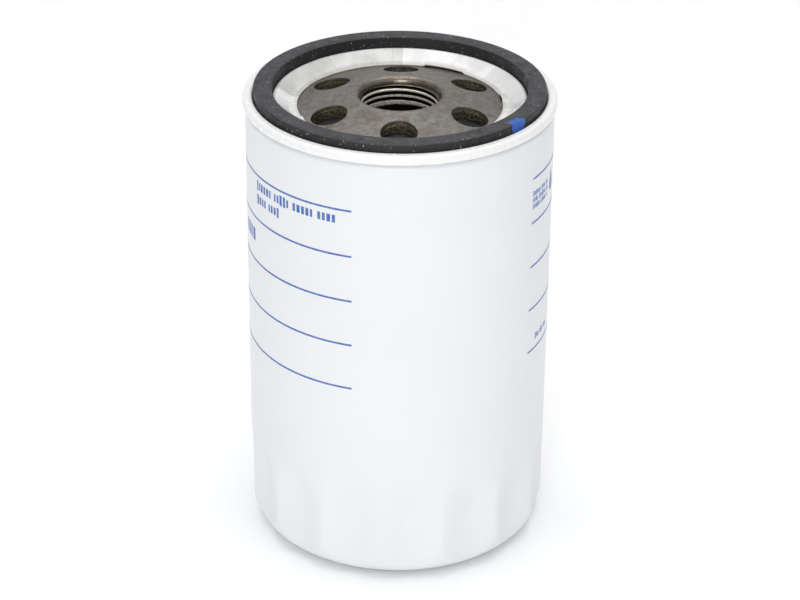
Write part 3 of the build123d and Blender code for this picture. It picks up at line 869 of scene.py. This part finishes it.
def build_rules():
    """Printed rules: strips that run round the back from one end of the blank panel to the other."""
    s = sizes()
    turn = np.linspace(s.rule_start, s.rule_end - 2 * np.pi, 400)
    for number in range(s.rule_count):
        points = ink_strip(s, turn, rule_height(s, number, turn), np.full_like(turn, s.rule_width / 2))
        make_piece(
            f"printed_rule_{number + 1}", points, once(printing_ink), "can", capped=True)


def tick_row(s, start, end, height, tall, seed):
    """Blocks of one row of plain marks: short upright bars of uneven width, in groups, without letters."""
    draw = np.random.default_rng(seed)
    blocks = []
    at = start
    while at < end:
        for _ in range(draw.integers(3, 7)):
            wide = draw.uniform(0.55, 0.9) * tall * 0.55
            turns = at + np.linspace(0, wide / s.body_radius, 5)
            lift = tall * (0.5 + (0.18 if draw.uniform() < 0.3 else 0))
            blocks.append(ink_strip(s, turns, np.full(5, height), np.full(5, lift)))
            at += (wide + 0.22 * tall) / s.body_radius
            if at >= end:
                break
        at += 0.5 * tall / s.body_radius
    return blocks


def build_marks():
    """Rows of plain printed ticks under and over the rules, standing where a maker prints the small text."""
    s = sizes()
    top = GASKET_HIGH.z
    rows = {
        "marks_left": [(-65, -24, 19.4, 2.0), (-65, -50, 23.0, 1.9)],
        "marks_edge": [(-79, -67, 33.6, 3.4)],
        "marks_right": [(58.5, 72, 19.6, 1.1), (58.5, 72, 21.3, 1.1), (58.5, 71, 23.0, 1.1)],
        "marks_low": [(64, 76, 59.6, 1.3)],
    }
    for number, (name, lines) in enumerate(rows.items()):
        blocks = []
        for line, (start, end, drop, tall) in enumerate(lines):
            where = (math.radians(start), math.radians(end), top - drop * MM, tall * MM)
            blocks += tick_row(s, *where, 10 * number + line)
        joined(name, np.stack(blocks), once(printing_ink), "can")


def build_drop_sign():
    """A plain oil drop: each point is the outline's x = sin(t) sin(t/2)^2, height = cos(t), scaled by a
    share that runs from nothing at its middle to one at its edge. Two such faces close on each other."""
    s = sizes()
    t = around(48)[None]
    share = np.concatenate([np.linspace(0, 1, 8), np.linspace(1, 0, 8)])[:, None]
    proud = np.repeat([s.ink_height, -s.ink_sunk], 8)[:, None]
    across = share * s.drop_width * np.sin(t) * np.sin(t / 2) ** 2
    up = share * s.drop_height * np.cos(t)
    turn = np.radians(77.5) + across / s.body_radius
    points = on_can(s, turn, GASKET_HIGH.z - 20.5 * MM + up, np.broadcast_to(proud, turn.shape))
    make_piece("printed_drop", points, once(printing_ink), "can")


def coil_points(radius, wire, low, high, turns, closed_turns=0.9):
    """Centre line and tube of a coil spring: the pitch is one wire thick in the end turns and opens evenly
    between them. Each section is a circle across the wire, and the end sections shrink to a point."""
    t = np.linspace(0, 1, int(turns * 64) + 1)
    at = t * turns
    free = smooth_step(at, closed_turns - 0.5, closed_turns) * (
        1 - smooth_step(at, turns - closed_turns, turns - closed_turns + 0.5))
    step = np.concatenate([[0], np.diff(at)])
    shut = np.cumsum(step) * wire * 1.02
    opened = np.cumsum(step * free)
    spare = (high - low - wire) - shut[-1]
    height = low + wire / 2 + shut + opened / opened[-1] * spare
    turn = (2 * np.pi * at)[:, None]
    slope = np.gradient(height, 2 * np.pi * at * radius)[:, None]
    tilt = np.arctan(slope)
    section = around(20)[None]
    size = np.full((len(t), 1), wire / 2)
    size[[0, -1]] = 0
    out = radius + size * np.cos(section)
    lift = size * np.sin(section) * np.cos(tilt)
    along = -size * np.sin(section) * np.sin(tilt)
    x = out * np.cos(turn) - along * np.sin(turn)
    y = out * np.sin(turn) + along * np.cos(turn)
    points = np.stack([x, y, height[:, None] + lift], -1)
    return points


def build_springs():
    """The two coil springs, wound with closed end turns."""
    s = sizes()
    wire = once(rolled_steel, "drawn_spring_wire", "#6F7074", "#3E3F44", 1.0, 0.25, 0.4)
    low, high = SPRING_LOW.z + 0.3 * MM, SPRING_HIGH.z - 0.3 * MM
    big = coil_points(s.spring_radius, s.spring_wire, low, high, 4.0)
    piece = make_piece("element_spring_coil", big, wire, "can")
    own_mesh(piece)
    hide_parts("element_spring")
    low, high = BYPASS_LOW.z + 0.1 * MM, BYPASS_HIGH.z - 0.1 * MM
    small = coil_points(s.coil_radius, s.coil_wire, low, high, 5.5)
    piece = make_piece("bypass_spring_coil", small, wire, "element")
    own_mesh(piece)
    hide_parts("bypass_spring")


def build_diaphragm():
    """Spun outline of the rubber umbrella: its hub under the plate and its flap, which reaches out to the
    frame's diaphragm rim.
    """
    s = sizes()
    hub, rim = s.hub_radius, FLAP_HIGH.x
    drop = s.plate_thickness / math.cos(s.plate_slope) + s.flap_gap
    hub_out = hub + s.hub_width
    flat = FLAP_LOW.z + s.flap_thickness
    cone_end = lid_opening(s) + s.cone_margin
    hub_low = plate_top(s, hub_out) - drop - s.hub_thickness
    under = [plate_top(s, r) - drop for r in (hub, hub + 1 * MM, hub_out + 1 * MM)]
    loop = [
        (hub, hub_low + 1 * MM, 0),
        (hub, under[0] - 1 * MM, 0.2 * MM),
        (hub + 1 * MM, under[1], 0.4 * MM),
        (cone_end, flat, 0.9 * MM),
        (rim, flat, 0.3 * MM),
        (rim, FLAP_LOW.z, 0.3 * MM),
        (cone_end - 1 * MM, FLAP_LOW.z, 1.0 * MM),
        (hub_out + 1 * MM, under[2] - s.flap_thickness, 0.3 * MM),
        (hub_out, hub_low, 0.3 * MM),
        (hub, hub_low, 0.2 * MM),
        (hub, hub_low + 1 * MM, 0),
    ]
    line = spaced(rounded_line(loop, 5), 0.8 * MM)[:-1]
    turn = around(240)[None]
    points = spun(line[:, :1], line[:, 1:], turn)
    piece = make_piece(
        "diaphragm_skin", points, once(moulded_rubber), None, closed_rows=True)
    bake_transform(piece)
    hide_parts("antidrain_diaphragm")


def finish_inner_nodes():
    """Gives the frame's own nodes, which keep their shape, the finish of their real material."""
    tin = ("tin_plate", "#C9C8C2", "#9B9A95", 1.0, 0.22, 0.4)
    tube = ("rolled_tube_steel", "#A8A7A3", "#76757A", 1.0, 0.3, 0.5)
    turned = ("turned_bar_steel", "#B9B8B4", "#8A8988", 1.0, 0.18, 0.3)
    finishes = {
        "thread_plate": once(plate_steel),
        "seam_compound": once(cast_plastisol),
        "element_grommet": once(moulded_rubber),
        "top_end_cap": once(rolled_steel, *tin),
        "bottom_end_cap": once(rolled_steel, *tin),
        "spring_cup": once(rolled_steel, *tin),
        "pleat_clip": once(rolled_steel, *tin),
        "bypass_seat": once(rolled_steel, *tin),
        "bypass_cage": once(rolled_steel, *tin),
        "centre_tube": once(rolled_steel, *tube),
        "bypass_poppet": once(rolled_steel, *turned),
        "bypass_washer": once(moulded_rubber),
        "top_adhesive": once(cast_plastisol),
        "bottom_adhesive": once(cast_plastisol),
        "pleated_media": once(resin_paper),
    }
    for node, material in finishes.items():
        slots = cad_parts[node].data.materials
        if len(slots):
            slots[0] = material
        else:
            slots.append(material)


def add_light(name, place, target, wide, tall, power, tint):
    """Rectangular soft light that faces a target."""
    lamp = bpy.data.lights.new(name, "AREA")
    lamp.shape = "RECTANGLE"
    lamp.size = wide
    lamp.size_y = tall
    lamp.energy = power
    lamp.color = linear(tint)
    light = bpy.data.objects.new(name, lamp)
    bpy.context.scene.collection.objects.link(light)
    aim = Vector(target) - Vector(place)
    light.matrix_world = Matrix.Translation(place) @ aim.to_track_quat("-Z", "Y").to_matrix().to_4x4()


def build_stage():
    """Pale floor that curves up behind, soft lights, and the camera."""
    span, back, bend = 3.0, 1.6, 0.7
    corners = [(-span, 0, 0), (back, 0, bend), (back, 2.4, 0)]
    line = spaced(rounded_line(corners, 24), 0.4)
    across = np.linspace(-span, span, 12)[None]
    depth, height = line[:, :1], line[:, 1:]
    points = np.stack(np.broadcast_arrays(across, depth, height), -1)
    index = np.arange(points.shape[0] * 12).reshape(-1, 12)
    quads = grid_faces(index)
    mesh = bpy.data.meshes.new("studio_floor")
    mesh.from_pydata(points.reshape(-1, 3).tolist(), [], quads.reshape(-1, 4).tolist())
    mesh.shade_smooth()
    mesh.materials.append(once(studio_floor))
    floor = bpy.data.objects.new("studio_floor", mesh)
    bpy.context.scene.collection.objects.link(floor)

    world = bpy.data.worlds.new("soft_room")
    world.use_nodes = True
    tree = world.node_tree
    upward = add_node(tree, "ShaderNodeTexCoord").outputs["Generated"]
    height = add_node(tree, "ShaderNodeSeparateXYZ", {0: upward}).outputs["Z"]
    glow = add_node(tree, "ShaderNodeMapRange", {"Value": height}).outputs[0]
    sky = tree.nodes["Background"]
    sky.inputs["Color"].default_value = (0.985, 0.99, 1.0, 1)
    tree.links.new(glow, sky.inputs["Strength"])
    bpy.context.scene.world = world
    middle = (0, 0, 0.06)
    add_light("front_softbox", (-0.10, -1.20, 0.55), middle, 0.5, 0.7, 6.0, "#FFFFFF")
    add_light("top_softbox", (0.0, 0.05, 1.6), middle, 1.4, 1.4, 9.5, "#FFFFFF")

    tilt, roll, distance = math.radians(27.588), math.radians(0.487), 0.65398
    target = Vector((0.417 * MM, 0, 60.16 * MM))
    place = target + distance * Vector((0, -math.cos(tilt), math.sin(tilt)))
    ahead = Vector((0, math.cos(tilt), -math.sin(tilt)))
    right = Vector((1, 0, 0))
    up = right.cross(ahead)
    side = right * math.cos(roll) + up * math.sin(roll)
    above = up * math.cos(roll) - right * math.sin(roll)
    lens = bpy.data.cameras.new("camera")
    lens.lens = 116.93
    lens.sensor_width = 36
    lens.clip_start = 0.01
    camera = bpy.data.objects.new("camera", lens)
    bpy.context.scene.collection.objects.link(camera)
    turn = Matrix((side, above, -ahead)).transposed().to_4x4()
    camera.matrix_world = Matrix.Translation(place) @ turn
    scene = bpy.context.scene
    scene.camera = camera
    scene.view_settings.view_transform = "Standard"


# Operators

class FILTER_OT_can(bpy.types.Operator):
    """Builds the fluted can with its hooked rim"""
    bl_idname = "oil_filter.can"
    bl_label = "Can"

    def execute(self, context):
        build_can()
        return {"FINISHED"}


class FILTER_OT_retainer(bpy.types.Operator):
    """Builds the pressed seal retainer with the outer layer of the seam"""
    bl_idname = "oil_filter.retainer"
    bl_label = "Seal retainer"

    def execute(self, context):
        build_retainer()
        return {"FINISHED"}


class FILTER_OT_gasket(bpy.types.Operator):
    """Builds the square-cut gasket"""
    bl_idname = "oil_filter.gasket"
    bl_label = "Gasket"

    def execute(self, context):
        build_gasket()
        return {"FINISHED"}


class FILTER_OT_hole_walls(bpy.types.Operator):
    """Builds the torn walls of the punched oil holes"""
    bl_idname = "oil_filter.hole_walls"
    bl_label = "Hole walls"

    def execute(self, context):
        build_torn_walls()
        return {"FINISHED"}


class FILTER_OT_print(bpy.types.Operator):
    """Builds the printed rules, plain marks and drop sign"""
    bl_idname = "oil_filter.print"
    bl_label = "Print"

    def execute(self, context):
        build_rules()
        build_marks()
        build_drop_sign()
        return {"FINISHED"}


class FILTER_OT_springs(bpy.types.Operator):
    """Builds the element's spring and the bypass spring"""
    bl_idname = "oil_filter.springs"
    bl_label = "Springs"

    def execute(self, context):
        build_springs()
        return {"FINISHED"}


class FILTER_OT_diaphragm(bpy.types.Operator):
    """Builds the anti-drain diaphragm"""
    bl_idname = "oil_filter.diaphragm"
    bl_label = "Diaphragm"

    def execute(self, context):
        build_diaphragm()
        return {"FINISHED"}


class FILTER_OT_finishes(bpy.types.Operator):
    """Gives the frame's own nodes their finishes"""
    bl_idname = "oil_filter.finishes"
    bl_label = "Finishes"

    def execute(self, context):
        finish_inner_nodes()
        return {"FINISHED"}


class FILTER_OT_stage(bpy.types.Operator):
    """Builds the floor, the lights and the camera"""
    bl_idname = "oil_filter.stage"
    bl_label = "Stage"

    def execute(self, context):
        build_stage()
        return {"FINISHED"}


OPERATORS = (
    FILTER_OT_can,
    FILTER_OT_retainer,
    FILTER_OT_gasket,
    FILTER_OT_hole_walls,
    FILTER_OT_print,
    FILTER_OT_springs,
    FILTER_OT_diaphragm,
    FILTER_OT_finishes,
    FILTER_OT_stage,
)


class FILTER_PT_panel(bpy.types.Panel):
    """Lists the filter's operators, sizes and colours"""
    bl_idname = "FILTER_PT_panel"
    bl_label = "Oil Filter"
    bl_space_type = "VIEW_3D"
    bl_region_type = "UI"
    bl_category = "Oil Filter"

    def draw(self, context):
        for operator in OPERATORS:
            self.layout.operator(operator.bl_idname)
        for group in (context.scene.filter_sizes, context.scene.filter_colours):
            box = self.layout.box()
            for name in group.bl_rna.properties.keys():
                if name not in ("rna_type", "name"):
                    box.prop(group, name)


CLASSES = (FilterSizes, FilterColours, *OPERATORS, FILTER_PT_panel)


def register():
    for item in CLASSES:
        bpy.utils.register_class(item)
    bpy.types.Scene.filter_sizes = bpy.props.PointerProperty(type=FilterSizes)
    bpy.types.Scene.filter_colours = bpy.props.PointerProperty(type=FilterColours)


def unregister():
    del bpy.types.Scene.filter_colours
    del bpy.types.Scene.filter_sizes
    for item in reversed(CLASSES):
        bpy.utils.unregister_class(item)


def main():
    """Builds every piece in order."""
    register()
    for operator in OPERATORS:
        group, name = operator.bl_idname.split(".")
        getattr(getattr(bpy.ops, group), name)()


if __name__ == "__main__":
    main()
